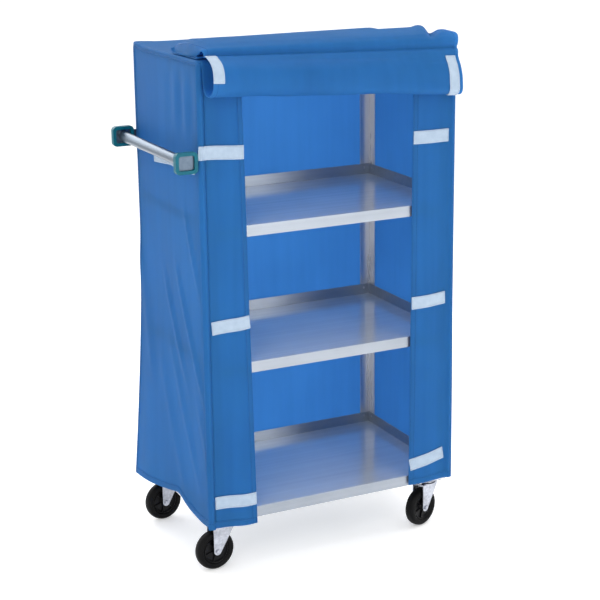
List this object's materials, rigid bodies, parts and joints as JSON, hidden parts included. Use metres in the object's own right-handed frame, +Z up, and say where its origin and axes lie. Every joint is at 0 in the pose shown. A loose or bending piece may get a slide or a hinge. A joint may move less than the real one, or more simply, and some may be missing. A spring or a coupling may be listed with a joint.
{
  "type": "covered linen trolley",
  "caption": "Tall stainless linen trolley with tray shelves, swivel casters, a push handle and a blue fabric cover with its front flap thrown up.",
  "frame": {"origin": "bottom centre of the whole trolley's bounding box, on the floor between the casters", "axes": "+Z up; the open front side faces -Y; the push handle is on the -X end; +X runs along the shelves away from the handle"},
  "size_m": [0.919, 0.6195, 1.608],
  "materials": {
    "stainless_steel": "brushed, bright",
    "handle_steel": "satin",
    "zinc_steel": "bright zinc plate",
    "bumper_vinyl": "soft satin",
    "wheel_plastic": "moulded, semi-gloss",
    "tyre_rubber": "satin",
    "cover_cloth": "coated plain-weave nylon",
    "white_tape": "hook-and-loop tape backing"
  },
  "bodies": {
    "trolley": {"post_front_left": "stainless_steel", "post_front_right": "stainless_steel", "post_rear_left": "stainless_steel", "post_rear_right": "stainless_steel", "shelf_bottom": "stainless_steel", "shelf_middle": "stainless_steel", "shelf_upper": "stainless_steel", "top_deck": "stainless_steel", "caster_channel_left": "zinc_steel", "caster_channel_right": "zinc_steel", "caster_plate_front_left": "zinc_steel", "caster_race_front_left": "zinc_steel", "caster_kingpin_front_left": "zinc_steel", "caster_plate_front_right": "zinc_steel", "caster_race_front_right": "zinc_steel", "caster_kingpin_front_right": "zinc_steel", "caster_plate_rear_left": "zinc_steel", "caster_race_rear_left": "zinc_steel", "caster_kingpin_rear_left": "zinc_steel", "caster_plate_rear_right": "zinc_steel", "caster_race_rear_right": "zinc_steel", "caster_kingpin_rear_right": "zinc_steel", "handle_bar": "handle_steel", "handle_bracket_front": "handle_steel", "handle_bracket_rear": "handle_steel", "bracket_bumper_front": "bumper_vinyl", "bracket_bumper_rear": "bumper_vinyl", "cover_top_panel": "cover_cloth", "cover_back_panel": "cover_cloth", "cover_left_panel": "cover_cloth", "cover_right_panel": "cover_cloth", "front_flap_left": "cover_cloth", "front_flap_right": "cover_cloth", "front_flap_rolled": "cover_cloth", "front_flap_fold": "cover_cloth", "closure_strip_left_upper": "white_tape", "closure_strip_left_middle": "white_tape", "closure_strip_left_lower": "white_tape", "closure_strip_right_upper": "white_tape", "closure_strip_right_middle": "white_tape", "closure_strip_right_lower": "white_tape", "handle_slit_strip": "white_tape", "roll_strap_left": "white_tape", "roll_strap_right": "white_tape"},
    "swivel_front_left": {"caster_fork_front_left": "zinc_steel", "caster_axle_front_left": "zinc_steel"},
    "wheel_front_left": {"wheel_core_front_left": "wheel_plastic", "wheel_tyre_front_left": "tyre_rubber"},
    "swivel_front_right": {"caster_fork_front_right": "zinc_steel", "caster_axle_front_right": "zinc_steel"},
    "wheel_front_right": {"wheel_core_front_right": "wheel_plastic", "wheel_tyre_front_right": "tyre_rubber"},
    "swivel_rear_left": {"caster_fork_rear_left": "zinc_steel", "caster_axle_rear_left": "zinc_steel"},
    "wheel_rear_left": {"wheel_core_rear_left": "wheel_plastic", "wheel_tyre_rear_left": "tyre_rubber"},
    "swivel_rear_right": {"caster_fork_rear_right": "zinc_steel", "caster_axle_rear_right": "zinc_steel"},
    "wheel_rear_right": {"wheel_core_rear_right": "wheel_plastic", "wheel_tyre_rear_right": "tyre_rubber"}
  },
  "joints": [
    {"name": "swivel_front_left", "type": "hinge", "parent": "trolley", "child": "swivel_front_left", "pos_m": [-0.3275, -0.1711, 0.1427], "axis": [0, 0, 1], "continuous": true},
    {"name": "roll_front_left", "type": "hinge", "parent": "swivel_front_left", "child": "wheel_front_left", "pos_m": [-0.35539, -0.17354, 0.0625], "axis": [-0.0872, 0.9962, 0], "continuous": true},
    {"name": "swivel_front_right", "type": "hinge", "parent": "trolley", "child": "swivel_front_right", "pos_m": [0.3965, -0.1711, 0.1427], "axis": [0, 0, 1], "continuous": true},
    {"name": "roll_front_right", "type": "hinge", "parent": "swivel_front_right", "child": "wheel_front_right", "pos_m": [0.37019, -0.18068, 0.0625], "axis": [-0.342, 0.9397, 0], "continuous": true},
    {"name": "swivel_rear_left", "type": "hinge", "parent": "trolley", "child": "swivel_rear_left", "pos_m": [-0.3275, 0.2589, 0.1427], "axis": [0, 0, 1], "continuous": true},
    {"name": "roll_rear_left", "type": "hinge", "parent": "swivel_rear_left", "child": "wheel_rear_left", "pos_m": [-0.35523, 0.255, 0.0625], "axis": [-0.1392, 0.9903, 0], "continuous": true},
    {"name": "swivel_rear_right", "type": "hinge", "parent": "trolley", "child": "swivel_rear_right", "pos_m": [0.3965, 0.2589, 0.1427], "axis": [0, 0, 1], "continuous": true},
    {"name": "roll_rear_right", "type": "hinge", "parent": "swivel_rear_right", "child": "wheel_rear_right", "pos_m": [0.36911, 0.25308, 0.0625], "axis": [-0.2079, 0.9781, 0], "continuous": true}
  ]
}
